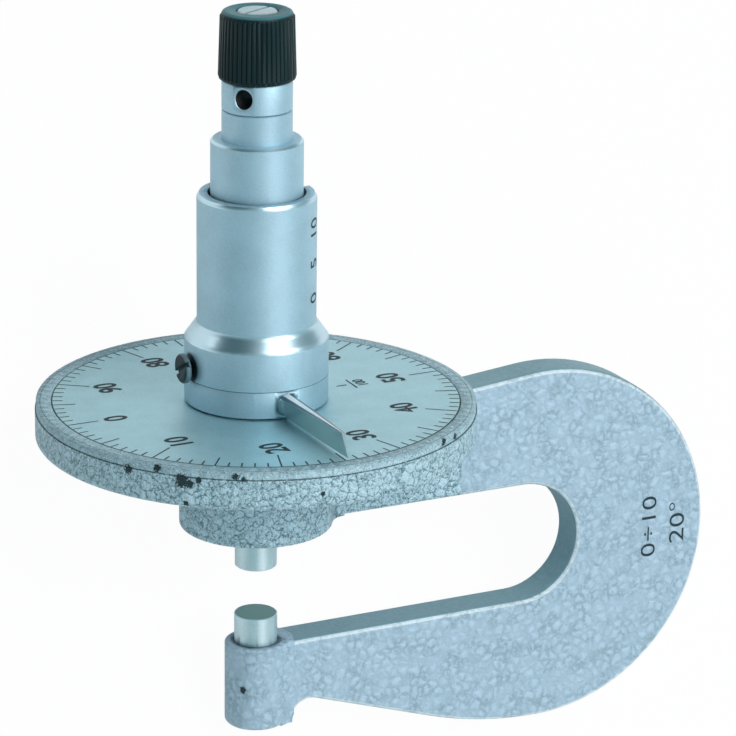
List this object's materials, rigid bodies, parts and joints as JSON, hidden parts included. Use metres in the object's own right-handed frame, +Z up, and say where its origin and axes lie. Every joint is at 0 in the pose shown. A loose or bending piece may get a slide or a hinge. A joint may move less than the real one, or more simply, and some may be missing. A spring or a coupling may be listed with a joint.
{
  "type": "disc micrometer",
  "caption": "Hand micrometer with a deep bow, a round dial with a turning pointer, a sliding thimble in a slotted barrel and a ratchet knob, for sheet and wall thickness.",
  "frame": {"origin": "middle of the anvil's measuring face", "axes": "The tool lies on the dish's rim and the bow's heel. +X runs from the spindle to the back of the bow, +Z is up, and the spindle's axis points to +Y and 29.3 degrees up."},
  "size_m": [0.1032, 0.1003, 0.0607],
  "materials": {
    "hammer_paint": "hammered enamel",
    "dial_satin": "satin",
    "satin_chrome": "satin",
    "ground_steel": "ground",
    "inner_steel": "turned",
    "spring_steel": "oiled",
    "brass": "turned",
    "black_plastic": "moulded"
  },
  "bodies": {
    "frame_body": {"frame": "hammer_paint", "anvil": "ground_steel", "dial_plate": "dial_satin", "stem": "inner_steel", "retaining_nut": "brass", "wave_washer": "spring_steel", "adjusting_nut": "brass"},
    "barrel_body": {"barrel": "satin_chrome"},
    "pointer_body": {"pointer_ring": "satin_chrome", "pointer": "ground_steel"},
    "clamp_body": {"clamp_screw": "spring_steel"},
    "spindle_body": {"spindle": "ground_steel", "thimble": "satin_chrome", "index_key": "inner_steel", "thimble_nut": "satin_chrome", "ratchet_body": "satin_chrome", "ratchet_spring": "spring_steel", "ratchet_pawl": "inner_steel", "knob_washer": "brass", "ratchet_screw": "satin_chrome"},
    "knob_body": {"ratchet_knob": "black_plastic", "ratchet_wheel": "inner_steel"}
  },
  "joints": [
    {"name": "barrel_turn", "type": "hinge", "parent": "frame_body", "child": "barrel_body", "pos_m": [0, 0.03925, 0.022], "axis": [0, 0.8723, 0.489], "range_deg": [-2610, 990]},
    {"name": "spindle_feed", "type": "slide", "parent": "barrel_body", "child": "spindle_body", "axis": [0, 0.8723, 0.489], "range_m": [-0.00725, 0.00275]},
    {"name": "ratchet_turn", "type": "hinge", "parent": "spindle_body", "child": "knob_body", "pos_m": [0, 0.07153, 0.0401], "axis": [0, 0.8723, 0.489], "continuous": true},
    {"name": "pointer_zero_turn", "type": "hinge", "parent": "barrel_body", "child": "pointer_body", "pos_m": [0, 0.0314, 0.0176], "axis": [0, 0.8723, 0.489], "range_deg": [-180, 180]},
    {"name": "clamp_screw_turn", "type": "hinge", "parent": "barrel_body", "child": "clamp_body", "pos_m": [-0.01, 0.03328, 0.01865], "axis": [-1, 0, 0], "range_deg": [0, 360]}
  ],
  "couplings": [
    {"joint": "barrel_turn", "follows": "spindle_feed", "rad_per_m": 6283.2}
  ]
}
